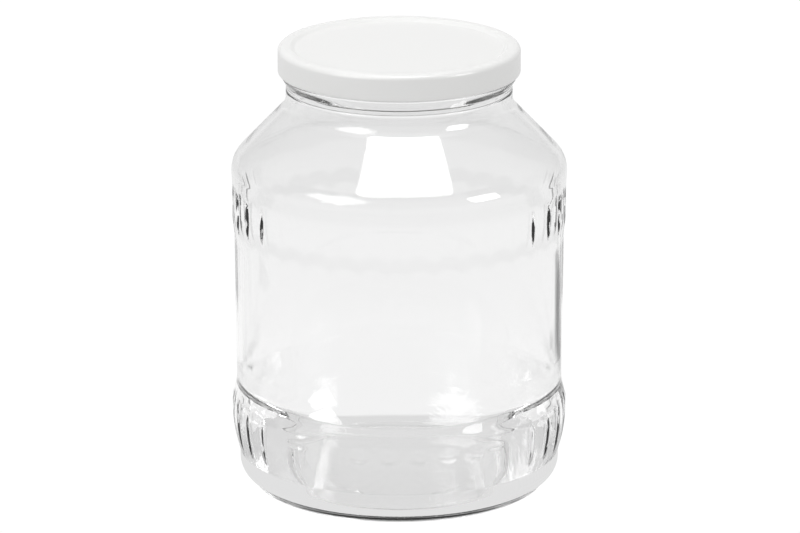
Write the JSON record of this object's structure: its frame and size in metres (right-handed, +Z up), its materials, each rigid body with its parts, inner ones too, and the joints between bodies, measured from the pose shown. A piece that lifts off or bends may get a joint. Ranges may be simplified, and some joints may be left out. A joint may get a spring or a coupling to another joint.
{
  "type": "pickle jar",
  "caption": "Wide-mouth clear glass preserving jar with fluted bands, closed by a white enamelled twist-off lid; holds pickles and other preserves.",
  "frame": {"origin": "centre of the jar's base, on the surface that it stands on", "axes": "+Z up along the jar's axis; the plain front of the lower band faces -Y"},
  "size_m": [0.1586, 0.1586, 0.2125],
  "materials": {
    "flint_glass": "clear, glossy",
    "white_enamel": "white gloss enamel on steel"
  },
  "bodies": {
    "root": {"jar": "flint_glass", "lid": "white_enamel"}
  },
  "joints": []
}
